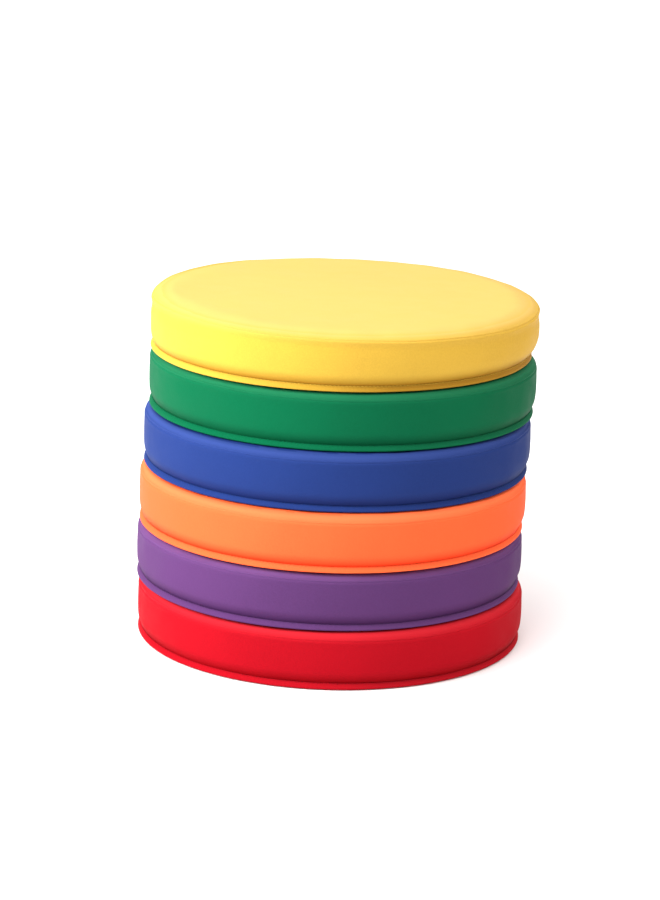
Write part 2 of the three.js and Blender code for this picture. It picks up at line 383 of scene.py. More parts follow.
def capsule(length, width, height, arch=0.0, sides=6, rings=5):
    """A closed round bar along its first axis, whose ends dip by arch."""
    points = []
    for ring in range(rings):
        share = (ring + 0.5) / rings
        reach = math.cos(math.pi * share)
        girth = math.sin(math.pi * share) ** 0.5
        for side in range(sides):
            angle = 2 * math.pi * side / sides
            points.append((
                reach * length / 2,
                math.cos(angle) * girth * width / 2,
                math.sin(angle) * girth * height / 2 - arch * reach * reach,
            ))
    points += [(length / 2, 0, -arch), (-length / 2, 0, -arch)]
    return points, closed_faces(rings, sides)


def drawn_in(points, scale):
    """Points at a share of their distance from the middle line."""
    return points * np.stack([scale, scale, np.ones_like(scale)], -1)


def hump(at, middle, width):
    """A soft bump of height 1, which falls off over a width to both sides of its middle."""
    return np.exp(-(((at - middle) / width) ** 2))


# ---- the shell ----


def outline(shape):
    """The cover's distance along, radius and height, as arrays from the top's middle to the crease."""
    corner = SIDE_RADIUS - shape["across"]
    foot = shape["height"] - shape["down"]
    flat = np.linspace(0, corner, OUTLINE_STEPS)
    turn = np.linspace(0, math.pi / 2, OUTLINE_STEPS)[1:]
    side = np.linspace(foot, CREASE_HEIGHT, OUTLINE_STEPS)[1:]
    share = (foot - side) / (foot - CREASE_HEIGHT)
    tuck = np.clip((SIDE_FOOT_HEIGHT - side) / (SIDE_FOOT_HEIGHT - CREASE_HEIGHT), 0, 1) ** 2
    radius = np.concatenate([
        flat,
        corner + shape["across"] * np.sin(turn),
        SIDE_RADIUS + SIDE_BULGE * np.sin(math.pi * share) - (SIDE_RADIUS - CREASE_RADIUS) * tuck,
    ])
    height = np.concatenate([
        shape["height"] + shape["crown"] * (1 - (flat / corner) ** 2),
        foot + shape["down"] * np.cos(turn),
        side,
    ])
    along = np.concatenate([[0], np.cumsum(np.hypot(np.diff(radius), np.diff(height)))])
    return along, radius, height


def seam_relief(offset, shape):
    """How far out the cover stands at a distance beyond the top seam."""
    groove = -shape["groove"] * hump(offset, 0, GROOVE_WIDTH)
    valley = -VALLEY_DEPTH * hump(offset, *VALLEY)
    bead = shape["bead"] * hump(offset, *BEAD)
    hollow = -shape["hollow"] * hump(offset, *HOLLOW)
    return groove + valley + bead + hollow


GROOVE_RING = len(INNER_RING_SHARES) + len(TOP_RING_OFFSETS)
BAND_RING = GROOVE_RING + len(SEAM_RING_OFFSETS)
HEIGHT_RING = BAND_RING + len(BAND_RING_OFFSETS)
CREASE_RING = HEIGHT_RING + len(BAND_RING_HEIGHTS) + len(FOOT_RING_HEIGHTS) - 1
UPPER_EDGE_RING = HEIGHT_RING + BAND_RING_HEIGHTS.index(ZIP_EDGE_HEIGHTS[0])
LOWER_EDGE_RING = UPPER_EDGE_RING + 1


def wave(azimuth, dice, size):
    """A gentle closed wave round the cushion, different for each draw."""
    total = np.zeros_like(azimuth)
    for count in SEAM_WAVES:
        phase = dice.uniform(0, 2 * math.pi)
        total += dice.uniform(0.4, 1.0) * np.sin(count * azimuth + phase) / math.sqrt(count)
    return total * size


def tucked(points, shape):
    """Points with the foot of the side, and all below it, drawn in on the side where the top slid out."""
    radius = np.hypot(points[..., 0], points[..., 1])
    azimuth = np.arctan2(points[..., 1], points[..., 0])
    facing = (1 + np.cos(azimuth - math.radians(SLIDE_AZIMUTH))) / 2
    low = np.clip((TUCK_TOP - points[..., 2]) / (TUCK_TOP - CREASE_HEIGHT), 0, 1) ** TUCK_POWER
    share = np.clip((radius - BOTTOM_RING_RADII[0]) / TUCK_FADE, 0, 1)
    return drawn_in(points, 1 - shape["tuck"] * facing * facing * low * share / np.maximum(radius, 1))


def shell_points(shape, dice):
    """The shell before simulation, as (rings, segments, 3) points, and which of its rings are held still."""
    azimuth = np.arange(SEGMENTS) * 2 * math.pi / SEGMENTS
    along, radii, heights = outline(shape)
    corner_end = np.interp(-(shape["height"] - shape["down"]), -heights, along)
    toward = np.cos(azimuth - math.radians(SLIDE_AZIMUTH))
    seam = corner_end + shape["seam"] + shape["slide"] * toward + wave(azimuth, dice, SEAM_WAVE_SIZE)
    for middle, reach, pull in shape["pulls"]:
        seam += pull * hump(np.degrees(azimuth), middle, reach)
    places = [(seam - INNER_REACH) * share for share in INNER_RING_SHARES]
    places += [seam + offset for offset in TOP_RING_OFFSETS + SEAM_RING_OFFSETS + BAND_RING_OFFSETS]
    for level in BAND_RING_HEIGHTS + FOOT_RING_HEIGHTS:
        places.append(np.full(SEGMENTS, np.interp(-level, -heights, along)))
    places = np.array(places)
    out_wave = wave(azimuth, dice, SEAM_WAVE_SIZE)
    crease_wave = wave(azimuth, dice, CREASE_WAVE_SIZE)
    radius = np.interp(places, along, radii)
    height = np.interp(places, along, heights)
    before, after = places - SLOPE_STEP, places + SLOPE_STEP
    slope_r = np.interp(after, along, radii) - np.interp(before, along, radii)
    slope_z = np.interp(after, along, heights) - np.interp(before, along, heights)
    length = np.maximum(np.hypot(slope_r, slope_z), 1e-6)
    offset = places - seam
    near_seam = hump(offset, 0, SEAM_WAVE_REACH)
    near_crease = hump(height, CREASE_HEIGHT, CREASE_WAVE_REACH) * (radius > EDGE_RADIUS)
    relief = seam_relief(offset, shape) + out_wave * near_seam + crease_wave * near_crease
    radius = radius - slope_z / length * relief
    height = height + slope_r / length * relief
    high = np.clip((height - ZIP_HEIGHT) / (shape["height"] - ZIP_HEIGHT), 0, 1)
    leaning = np.cos(azimuth - math.radians(TILT_AZIMUTH)) * radius / SIDE_RADIUS
    height = height + shape["tilt"] * leaning * high
    points = [around(r, azimuth, z) for r, z in zip(radius, height)]
    for ring, (r, z) in enumerate(BOTTOM_FOLD):
        points.append(around(r + crease_wave * max(0, 1 - ring / 2), azimuth, z))
    points += [around(r, azimuth, BOTTOM_HEIGHT) for r in BOTTOM_RING_RADII]
    held = np.zeros(len(points), bool)
    held[:HELD_RINGS] = True
    held[GROOVE_RING - 2 : GROOVE_RING + 4] = True
    held[CREASE_RING - 1 :] = True
    return tucked(np.array(points), shape), held


def simulate(points, held, name):
    """Blows the shell up between its sewn rings, and gives the new points."""
    rings, segments = points.shape[:2]
    count = rings * segments
    flat = np.concatenate([points.reshape(-1, 3), [points[0].mean(0)], [points[-1].mean(0)]])
    shell = new_piece(name, flat * MM, closed_faces(rings, segments))
    group = shell.vertex_groups.new(name="held")
    still = [int(i) for i in np.nonzero(np.repeat(held, segments))[0]] + [count, count + 1]
    group.add(still, 1.0, "REPLACE")
    cloth = shell.modifiers.new("cloth", "CLOTH")
    settings = cloth.settings
    for key, value in CLOTH.items():
        setattr(settings, key, value)
    settings.vertex_group_mass = "held"
    settings.effector_weights.gravity = 0
    cloth.point_cache.frame_start = 1
    cloth.point_cache.frame_end = SIMULATED_FRAMES
    for step in range(1, SIMULATED_FRAMES + 1):
        bpy.context.scene.frame_set(step)
    graph = bpy.context.evaluated_depsgraph_get()
    result = np.zeros((count + 2) * 3, np.float32)
    shell.evaluated_get(graph).data.vertices.foreach_get("co", result)
    bpy.context.scene.frame_set(1)
    bpy.data.objects.remove(shell)
    return result.reshape(-1, 3)[:count].reshape(points.shape) / MM


def blown_shell(colour, shape, dice):
    """The shell after simulation, its movement capped and calmed."""
    start, held = shell_points(shape, dice)
    end = simulate(start, held, f"{colour}_shell")
    moved = end - start
    distance = np.linalg.norm(moved, axis=-1, keepdims=True)
    moved *= EASE * np.minimum(1, MOST_MOVED / np.maximum(distance, 1e-9))
    waves = np.arange(SEGMENTS // 2 + 1)
    kept = np.exp(-((waves / MOST_WRINKLES) ** 2))[None, :, None]
    calm = np.fft.irfft(np.fft.rfft(moved, axis=1) * kept, SEGMENTS, axis=1)
    ramp = np.clip((np.arange(len(start)) - HELD_RINGS) / RAMP_RINGS, 0, 1)
    return start + calm * (ramp * ramp * (3 - 2 * ramp))[:, None, None]


def keep_clear(shell, colour):
    """Presses the top flat under the next cushion, and holds the rear band inside the slider's path."""
    if colour != TOP_CUSHION:
        top = shell[:GROOVE_RING]
        top[..., 2] = np.minimum(top[..., 2], PRESSED_TOP["height"])
    radius = np.hypot(shell[..., 0], shell[..., 1])
    azimuth = np.degrees(np.arctan2(shell[..., 1], shell[..., 0]))
    beside_zip = (azimuth > ZIP_FROM - CLEAR_MARGIN) & (azimuth < ZIP_TO + CLEAR_MARGIN)
    near_zip = beside_zip & (abs(shell[..., 2] - ZIP_HEIGHT) < CLEAR_REACH)
    inside = np.minimum(1, ZIP_CLEARANCE_RADIUS / np.maximum(radius, 1))
    return drawn_in(shell, np.where(near_zip, inside, 1))


def toward_core(points, depth):
    """Points moved into the cushion, straight towards its core."""
    radius = np.hypot(points[..., 0], points[..., 1])
    core_radius = np.minimum(radius, CORE_RADIUS)
    core_height = np.clip(points[..., 2], CORE_LOW, CORE_HIGH)
    way_in = core_radius - radius
    way_up = core_height - points[..., 2]
    length = np.maximum(np.hypot(way_in, way_up), 1e-6)
    new_radius = radius + way_in / length * depth
    scale = new_radius / np.maximum(radius, 1e-6)
    return np.stack(
        [points[..., 0] * scale, points[..., 1] * scale, points[..., 2] + way_up / length * depth], -1
    )


# ---- the cover's panels ----


def turned_in(rows, at_start, at_end):
    """Rounds off open edges of a grid: the edge row moves back, and two more go in."""
    rows = list(rows)
    if at_start:
        edge, inner = rows[0], rows[1]
        rows[0] = edge + (inner - edge) * TURN_SETBACK
        for share in TURN_IN_SHARES:
            rows.insert(0, toward_core(edge, TURN_IN * share))
    if at_end:
        edge, inner = rows[-1], rows[-2]
        rows[-1] = edge + (inner - edge) * TURN_SETBACK
        for share in TURN_IN_SHARES:
            rows.append(toward_core(edge, TURN_IN * share))
    return np.array(rows)


def cover_piece(name, outer, place, shape):
    """An open strip of vinyl with its thickness, from a (rings, columns, 3) grid of points on its outside."""
    outer = refined(outer, False)
    rings, columns = outer.shape[:2]
    inner = toward_core(outer, COVER_THICKNESS)
    loop = np.concatenate([outer, inner[::-1]])
    faces = grid_faces(2 * rings, columns, wrap_rows=True)
    for ring in range(rings - 1):
        a, b = ring * columns, (ring + 1) * columns
        c, d = (2 * rings - 2 - ring) * columns, (2 * rings - 1 - ring) * columns
        faces.append((a, d, c, b))
        faces.append((a + columns - 1, b + columns - 1, c + columns - 1, d + columns - 1))
    piece = new_piece(name, place(loop), faces)
    # Painted shade and painted highlight, kept on the mesh for the material.
    shade = painted_light_on_cover(outer, shape)
    set_shade(piece, np.concatenate([shade, shade[::-1]]))
    return piece


def disc_piece(name, outer, place, shape, inward):
    """A round panel with its thickness, from rings of points on its outside."""
    outer = refined(outer, True)
    rings, columns = outer.shape[:2]
    inner = toward_core(outer, COVER_THICKNESS)
    loop = np.concatenate([outer, inner[::-1]])
    points = np.concatenate([loop.reshape(-1, 3), [outer[0].mean(0)], [inner[0].mean(0)]])
    faces = closed_faces(2 * rings, columns)
    if inward:
        faces = [f[::-1] for f in faces]
    piece = new_piece(name, place(points), faces)
    # Painted shade and painted highlight, kept on the mesh for the material.
    shade = painted_light_on_cover(outer, shape)
    middle = shade[0].mean()
    set_shade(piece, np.concatenate([shade.ravel(), shade[::-1].ravel(), [middle, middle]]))
    return piece


def columns_between(shell, from_degrees, to_degrees):
    """The shell's columns from one azimuth to another, both included."""
    step = 360 / SEGMENTS
    first, last = round(from_degrees / step), round(to_degrees / step)
    return shell[:, [i % SEGMENTS for i in range(first, last + 1)]]


def painted_light_on_cover(points, shape):
    """The painted light on the cover: up to 1, painted shade, in the crease above the lip, and down to -1,
    painted highlight, on the rim and the top.
    """
    height = points[..., 2]
    radius = np.hypot(points[..., 0], points[..., 1])
    # Painted shade grows towards the crease; painted highlights lie round the rim and on the top.
    painted_shade = np.clip((CREASE_SHADE_TOP - height) / (CREASE_SHADE_TOP - CREASE_HEIGHT), 0, 1) ** 1.5
    rim = hump(height, RIM_HIGHLIGHT_HEIGHT, RIM_HIGHLIGHT_REACH)
    on_top = np.clip((TOP_HIGHLIGHT_RADIUS - radius) / TOP_HIGHLIGHT_FADE, 0, 1) * (height > ZIP_HEIGHT)
    return (painted_shade - shape["rim_pale"] * rim) * (radius > SIDE_PAINTED_LIGHT_RADIUS) - shape["top_pale"] * on_top


def top_cover(colour, shape, shell, place):
    grid = shell[: GROOVE_RING + 1]
    grid = np.concatenate([grid, toward_core(grid[-1], COVER_THICKNESS)[None]])
    return disc_piece(f"{colour}_top_cover", grid, place, shape, False)


def bottom_cover(colour, shape, shell, place):
    grid = shell[CREASE_RING + 2 :][::-1]
    return disc_piece(f"{colour}_bottom_cover", grid, place, shape, True)


def band_piece(name, shape, shell, place, rings, azimuths, open_top=False, open_bottom=False):
    """A strip of the side between two rings and azimuths, with its sewn edges going in."""
    grid = columns_between(shell, *azimuths)[rings[0] : rings[1] + 1]
    grid = turned_in(grid, open_top, open_bottom)
    if not open_top:
        grid = np.concatenate([toward_core(grid[0], COVER_THICKNESS)[None], grid])
    if not open_bottom:
        grid = np.concatenate([grid, toward_core(grid[-1], CREASE_ALLOWANCE)[None]])
    grid = turned_in(np.swapaxes(grid, 0, 1), True, True).swapaxes(0, 1)
    return cover_piece(name, grid, place, shape)


def front_band(colour, shape, shell, place):
    rings = (GROOVE_RING, CREASE_RING)
    return band_piece(f"{colour}_front_band", shape, shell, place, rings, FRONT)


def rear_band_upper(colour, shape, shell, place):
    rings = (GROOVE_RING, UPPER_EDGE_RING)
    return band_piece(f"{colour}_rear_band_upper", shape, shell, place, rings, REAR, open_bottom=True)


def rear_band_lower(colour, shape, shell, place):
    rings = (LOWER_EDGE_RING, CREASE_RING)
    return band_piece(f"{colour}_rear_band_lower", shape, shell, place, rings, REAR, open_top=True)


def lip(colour, shape, place, dice):
    """The folded strip round the bottom edge, drawn in a little at each stitch."""
    columns = STITCHES_ROUND * LIP_COLUMNS_PER_STITCH
    azimuth = np.arange(columns) * 2 * math.pi / columns
    uneven = wave(azimuth, dice, LIP_WAVE_SIZE)
    drawn = shape["lip_drawn"] * (np.cos(azimuth - math.radians(LIP_AZIMUTH)) - 1) / 2
    at_stitch = 0.5 + 0.5 * np.cos(azimuth * STITCHES_ROUND)
    rows = []
    for radius, height in LIP_OUTLINE:
        upper = min(1, max(0, (height - LIP_PUCKER_LOW) / LIP_PUCKER_RISE)) * (radius > LIP_ROOT_RADIUS)
        outer = min(1, max(0, (radius - LIP_ROOT_RADIUS) / LIP_FREE_REACH))
        pucker = LIP_PUCKER * upper * at_stitch
        out = radius + (uneven + drawn) * outer - pucker * LIP_PUCKER_IN * outer
        rows.append(around(out, azimuth, height * (1 + LIP_LOWERING * drawn * outer) - pucker))
    rows = tucked(np.array(rows), shape)
    faces = grid_faces(len(rows), columns, wrap_rows=True, wrap_columns=True)
    piece = new_piece(f"{colour}_lip", place(rows), faces)
    # The lip gets the painted light of its colour where it turns under.
    turned = np.minimum(1, -LIP_TUCK * drawn / shape["lip_drawn"])
    set_shade(piece, np.tile(LIP_PAINTED_LIGHT[colour] * turned, len(rows)))
    return piece


def foam_disc(colour, shell, place):
    """The foam, just inside the cover all round."""
    keep = [i for i in range(len(shell)) if not GROOVE_RING - 3 <= i <= GROOVE_RING + 4]
    rings = toward_core(shell[keep], FOAM_DEPTH)
    radius = np.hypot(rings[..., 0], rings[..., 1])
    rings = drawn_in(rings, np.minimum(1, FOAM_SIDE_RADIUS / np.maximum(radius, 1)))
    points = np.concatenate([rings.reshape(-1, 3), [rings[0].mean(0)], [rings[-1].mean(0)]])
    return new_piece(f"{colour}_foam_disc", place(points), closed_faces(*rings.shape[:2]))


# ---- stitches ----


def stitch_piece(name, centres, along, out, place):
    """One stitch at each centre, as one mesh."""
    along = along / np.linalg.norm(along, axis=-1, keepdims=True)
    out = out / np.linalg.norm(out, axis=-1, keepdims=True)
    across = np.cross(out, along)
    template = capsule(STITCH_LENGTH, 2 * STITCH_SIZE, 2 * STITCH_SIZE, arch=STITCH_SIZE * 1.4)
    points, faces = repeated(*template, (centres, along, across, out))
    return new_piece(name, place(points), faces)


def lip_stitches(colour, shape, place):
    azimuth = np.arange(STITCHES_ROUND) * 2 * math.pi / STITCHES_ROUND
    radius, height = LIP_STITCH
    centres = tucked(around(radius, azimuth, height - LIP_PUCKER * 0.5), shape)
    along = around(1, azimuth + math.pi / 2, 0)
    out = around(0.35, azimuth, 1.0)
    return stitch_piece(f"{colour}_lip_stitches", centres, along, out, place)


def on_band(shell, height, azimuth):
    """Points on the blown band at a height and azimuths in degrees, and the way out there."""
    rings = shell[BAND_RING:CREASE_RING]
    middle = rings[..., 2].mean(1)
    order = np.argsort(middle)
    column = np.asarray(azimuth) / 360 * SEGMENTS
    low = np.floor(column).astype(int)
    share = (column - low)[:, None]
    line = rings[order][:, low % SEGMENTS] * (1 - share) + rings[order][:, (low + 1) % SEGMENTS] * share
    radii = np.hypot(line[..., 0], line[..., 1])
    radius = np.array([np.interp(height, line[:, i, 2], radii[:, i]) for i in range(line.shape[1])])
    turn = np.radians(azimuth)
    return around(radius, turn, height), around(1, turn, 0)


def zip_stitches(colour, shell, place):
    """Two rows beside the zip, and one down each end of the front band."""
    step = math.degrees(STITCH_PITCH / TAPE_RADIUS)
    azimuth = np.arange(ZIP_FROM + ROW_STITCH_SETBACK, ZIP_TO - ROW_STITCH_SETBACK, step)
    centres, along, out = [], [], []
    for side in (-1, 1):
        height = ZIP_HEIGHT + side * (ZIP_HALF_OPENING + ZIP_STITCH_SETBACK)
        c, o = on_band(shell, height, azimuth)
        centres.append(c)
        out.append(o)
        along.append(around(1, np.radians(azimuth) + math.pi / 2, 0))
    for end, side in ((ZIP_FROM, -1), (ZIP_TO, 1)):
        for height in np.arange(END_STITCHES_FROM, END_STITCHES_TO, STITCH_PITCH):
            c, o = on_band(shell, height, np.array([end + side * END_STITCH_SETBACK]))
            centres.append(c)
            out.append(o)
            along.append(np.array([[0, 0, 1.0]]))
    return stitch_piece(
        f"{colour}_zip_stitches", np.concatenate(centres), np.concatenate(along), np.concatenate(out), place
    )


# ---- the zip ----


def zip_tape(colour, place):
    """The tape, thicker down its middle."""
    azimuth = np.radians(np.linspace(ZIP_FROM, ZIP_TO, 145))
    half = TAPE_WIDTH / 2
    bump = [(-half, 0.0), (-half * 0.6, 0.05), (-3.2, 0.1), (-2.2, 0.35), (0, 0.45), (2.2, 0.35), (3.2, 0.1)]
    bump += [(half * 0.6, 0.05), (half, 0.0)]
    outer = [around(TAPE_RADIUS + TAPE_THICKNESS / 2 + rise, azimuth, ZIP_HEIGHT + up) for up, rise in bump]
    inner = [around(TAPE_RADIUS - TAPE_THICKNESS / 2, azimuth, ZIP_HEIGHT + up) for up, _ in bump[::-1]]
    rows = np.array(outer + inner)
    count, columns = rows.shape[:2]
    faces = grid_faces(count, columns, wrap_rows=True)
    faces = [f[::-1] for f in faces]
    faces.append(tuple(row * columns for row in range(count)))
    faces.append(tuple(row * columns + columns - 1 for row in range(count))[::-1])
    return new_piece(f"{colour}_zip_tape_cloth", place(rows), faces)


def zip_coil(colour, place):
    """Two rows of teeth that mesh down the middle of the tape."""
    step = math.degrees(TOOTH_PITCH / TOOTH_RADIUS)
    template = capsule(TOOTH_LENGTH, 2 * TOOTH_SIZE, 2.4 * TOOTH_SIZE, arch=0.25)
    centres, out, across = [], [], []
    for side, shift in ((-1, 0.0), (1, 0.5)):
        azimuth = np.radians(np.arange(ZIP_FROM + 1.5, ZIP_TO - 1.5, step) + shift * step)
        centres.append(around(TOOTH_RADIUS, azimuth, ZIP_HEIGHT + side * TOOTH_LENGTH * 0.28))
        out.append(around(1, azimuth, 0))
        across.append(around(1, azimuth + math.pi / 2, 0))
    centres, out, across = (np.concatenate(v) for v in (centres, out, across))
    up = np.zeros_like(out) + (0, 0, 1)
    points, faces = repeated(*template, (centres, up, across, out))
    return new_piece(f"{colour}_zip_coil", place(points), faces)


def hardware_place(place):
    """Puts points from the slider's frame, x out and z up from its middle, into the row frame."""
    turn = math.radians(SLIDER_AZIMUTH)
    def put(points):
        p = np.asarray(points, float)
        x = p[..., 0] * math.cos(turn) - p[..., 1] * math.sin(turn)
        y = p[..., 0] * math.sin(turn) + p[..., 1] * math.cos(turn)
        return place(np.stack([x, y, p[..., 2] + ZIP_HEIGHT], -1))
    return put


def rounded_outline(points, radius, steps=4):
    """A closed outline with its corners rounded."""
    made = []
    count = len(points)
    for i in range(count):
        before, here, after = (np.array(points[(i + k) % count], float) for k in (-1, 0, 1))
        to_before, to_after = before - here, after - here
        cut = min(radius, np.linalg.norm(to_before) / 2.01, np.linalg.norm(to_after) / 2.01)
        start = here + to_before / np.linalg.norm(to_before) * cut
        end = here + to_after / np.linalg.norm(to_after) * cut
        for k in range(steps + 1):
            t = k / steps
            made.append((1 - t) ** 2 * start + 2 * t * (1 - t) * here + t**2 * end)
    return np.array(made)


def bevelled(piece, width):
    """Rounds the sharp edges of a flat metal piece, and keeps its faces flat."""
    piece.data.set_sharp_from_angle(angle=SHARP_ANGLE)
    modifier = piece.modifiers.new("rounding", "BEVEL")
    modifier.width = width * MM
    modifier.segments = 2
    modifier.limit_method = "ANGLE"
    modifier.angle_limit = SHARP_ANGLE
    modifier.harden_normals = True
    return piece


def extruded(corners, low, high):
    """A closed prism from an outline of (tangential, vertical) points, between two distances out."""
    count = len(corners)
    points = [(distance, p[0], p[1]) for distance in (low, high) for p in corners]
    faces = [(i, (i + 1) % count, count + (i + 1) % count, count + i) for i in range(count)]
    faces.append(tuple(range(count))[::-1])
    faces.append(tuple(range(count, 2 * count)))
    return points, faces


def slider_body(colour, place):
    """The plate, waisted and rounded, with its arch, as one mesh."""
    half_length, half_width = SLIDER_LENGTH / 2, SLIDER_WIDTH / 2
    plate = [
        (-half_length, -half_width * 0.62),
        (-half_length * 0.2, -half_width),
        (half_length, -half_width * 0.86),
        (half_length, half_width * 0.86),
        (-half_length * 0.2, half_width),
        (-half_length, half_width * 0.62),
    ]
    points, faces = extruded(rounded_outline(plate, 1.8), SLIDER_RADIUS, SLIDER_RADIUS + SLIDER_THICKNESS)
    base = SLIDER_RADIUS + SLIDER_THICKNESS - 0.25
    steps = 12
    outer, inner = [], []
    for k in range(steps + 1):
        angle = math.pi * k / steps
        reach = math.copysign(abs(math.cos(angle)) ** 0.6, math.cos(angle))
        rise = math.sin(angle) ** 0.6
        outer.append((base + (ARCH_RISE + 0.25) * rise, reach * ARCH_LENGTH / 2))
        inner.append((base + (ARCH_RISE + 0.25 - ARCH_BAR) * rise, reach * (ARCH_LENGTH / 2 - ARCH_BAR)))
    first = len(points)
    loop = outer + inner[::-1]
    for side in (-1, 1):
        points += [(x, y, side * ARCH_WIDTH / 2) for x, y in loop]
    count = len(loop)
    faces += [
        (first + i, first + (i + 1) % count, first + count + (i + 1) % count, first + count + i)
        for i in range(count)
    ]
    for k in range(steps):
        a, b, c, d = k, k + 1, count - 2 - k, count - 1 - k
        faces.append((first + a, first + d, first + c, first + b))
        faces.append((first + count + a, first + count + b, first + count + c, first + count + d))
    return bevelled(new_piece(f"{colour}_slider_body", hardware_place(place)(points), faces), 0.35)


def pull_tab(colour, place):
    """The tab with the window that its bar closes, lying against the band."""
    neck, end = PULL_NECK_WIDTH / 2, PULL_END_WIDTH / 2
    arc = [
        (-(PULL_LENGTH - end) - end * math.sin(a), end * math.cos(a))
        for a in np.linspace(0, math.pi, 13)
    ]
    outer = [(PULL_BAR / 2, -neck), (PULL_BAR / 2, neck)] + arc
    window = [
        (-PULL_BAR / 2, PULL_WINDOW_WIDTH / 2), (-PULL_BAR / 2 - PULL_WINDOW_LENGTH, PULL_WINDOW_WIDTH / 2),
        (-PULL_BAR / 2 - PULL_WINDOW_LENGTH, -PULL_WINDOW_WIDTH / 2), (-PULL_BAR / 2, -PULL_WINDOW_WIDTH / 2),
    ]
    count = PULL_POINTS
    quarter = count // 4
    outer = evenly(outer, count)
    window = evenly(rounded_outline(window, 0.7, 2), count)
    shift = int(np.argmin(np.linalg.norm(window - outer[0], axis=1)))
    window = np.roll(window, -shift, 0)
    onward = np.linalg.norm(window[quarter] - outer[quarter])
    backward = np.linalg.norm(window[-quarter] - outer[quarter])
    if onward > backward:
        window = np.roll(window[::-1], 1, 0)
    points = []
    for distance in (PULL_RADIUS - PULL_THICKNESS / 2, PULL_RADIUS + PULL_THICKNESS / 2):
        points += [(distance, y, z) for y, z in outer]
        points += [(distance, y, z) for y, z in window]
    faces = []
    for i in range(count):
        j = (i + 1) % count
        faces.append((i, j, count + j, count + i))
        faces.append((2 * count + i, 3 * count + i, 3 * count + j, 2 * count + j))
        faces.append((i, 2 * count + i, 2 * count + j, j))
        faces.append((count + i, count + j, 3 * count + j, 3 * count + i))
    piece = new_piece(f"{colour}_pull_tab", hardware_place(place)(points), faces)
    return bevelled(piece, 0.28)


def evenly(corners, count):
    """A closed outline with its points spread evenly along it."""
    loop = np.array(list(corners) + [corners[0]], float)
    length = np.concatenate([[0], np.cumsum(np.linalg.norm(np.diff(loop, axis=0), axis=1))])
    at = np.arange(count) / count * length[-1]
    return np.stack([np.interp(at, length, loop[:, k]) for k in (0, 1)], -1)


# ---- materials ----


class Nodes:
    """A material's node tree, with short calls to add and join nodes."""

    def __init__(self, name):
        self.material = bpy.data.materials.new(name)
        self.material.use_nodes = True
        self.tree = self.material.node_tree
        self.tree.nodes.clear()
        self.shader = self.add("ShaderNodeBsdfPrincipled")
        output = self.add("ShaderNodeOutputMaterial")
        self.tree.links.new(self.shader.outputs["BSDF"], output.inputs["Surface"])

    def add(self, kind, inputs=(), **settings):
        node = self.tree.nodes.new(kind)
        for key, value in settings.items():
            setattr(node, key, value)
        for key, value in dict(inputs).items():
            self.put(value, node.inputs[key])
        return node

    def put(self, value, socket):
        if isinstance(value, bpy.types.NodeSocket):
            self.tree.links.new(value, socket)
        elif isinstance(value, tuple):
            socket.default_value = (*value, 1)
        else:
            socket.default_value = value

    def coordinates(self):
        return self.add("ShaderNodeTexCoord").outputs["Object"]

    def noise(self, scale, detail=2.0, roughness=0.5):
        values = {"Vector": self.coordinates(), "Scale": scale, "Detail": detail, "Roughness": roughness}
        return self.add("ShaderNodeTexNoise", values).outputs["Fac"]

    def cells(self, scale, smooth=0.5):
        values = {"Vector": self.coordinates(), "Scale": scale, "Smoothness": smooth}
        return self.add("ShaderNodeTexVoronoi", values, feature="SMOOTH_F1").outputs["Distance"]

    def attribute(self, name):
        return self.add("ShaderNodeAttribute", attribute_name=name).outputs["Fac"]

    def spread(self, value, low, high, from_low=0.3, from_high=0.7):
        values = {"Value": value, "From Min": from_low, "From Max": from_high, "To Min": low, "To Max": high}
        return self.add("ShaderNodeMapRange", values).outputs["Result"]

    def maths(self, operation, a, b):
        return self.add("ShaderNodeMath", {0: a, 1: b}, operation=operation).outputs[0]

    def mixed(self, share, a, b):
        node = self.add("ShaderNodeMix", data_type="RGBA")
        colour_a, colour_b = (s for s in node.inputs if s.type == "RGBA")
        self.put(share, node.inputs[0])
        self.put(a, colour_a)
        self.put(b, colour_b)
        return next(s for s in node.outputs if s.type == "RGBA")

    def bump(self, height, distance, strength=1.0, below=None):
        values = {"Height": height, "Distance": distance, "Strength": strength}
        if below is not None:
            values["Normal"] = below
        return self.add("ShaderNodeBump", values).outputs["Normal"]

    def finish(self, colour, roughness, normal, **fixed):
        self.put(colour, self.shader.inputs["Base Color"])
        self.put(roughness, self.shader.inputs["Roughness"])
        self.put(normal, self.shader.inputs["Normal"])
        for key, value in fixed.items():
            self.shader.inputs[key.replace("_", " ")].default_value = value
        return self.material


def scaled(colour, factor, lift=0.0):
    return tuple(min(1.0, c * factor + lift) for c in colour)


